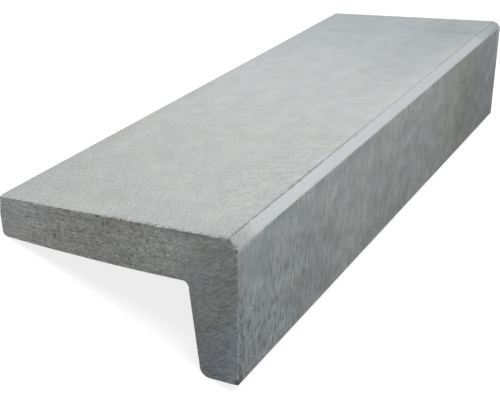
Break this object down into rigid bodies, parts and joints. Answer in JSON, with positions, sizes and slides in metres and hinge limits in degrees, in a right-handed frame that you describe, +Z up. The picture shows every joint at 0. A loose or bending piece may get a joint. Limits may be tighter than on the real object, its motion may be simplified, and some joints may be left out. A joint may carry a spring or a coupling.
{
  "type": "l-shaped concrete step",
  "caption": "Precast concrete stair step of L section: a flat tread with a bevelled nose and a tapered riser under its front edge, resting tipped back on its foot and back edge.",
  "frame": {"origin": "on the floor under the centre of the bounding box, with the step lying as it comes to rest, tipped back on its foot and its back edge", "axes": "+X along the step, -Y out of the riser's front, +Z up; the tread slopes down towards +Y"},
  "size_m": [1, 0.3582, 0.1764],
  "materials": {
    "cast_concrete": "matte grey concrete as it comes from the mould"
  },
  "bodies": {
    "root": {"l_step": "cast_concrete"}
  },
  "joints": []
}
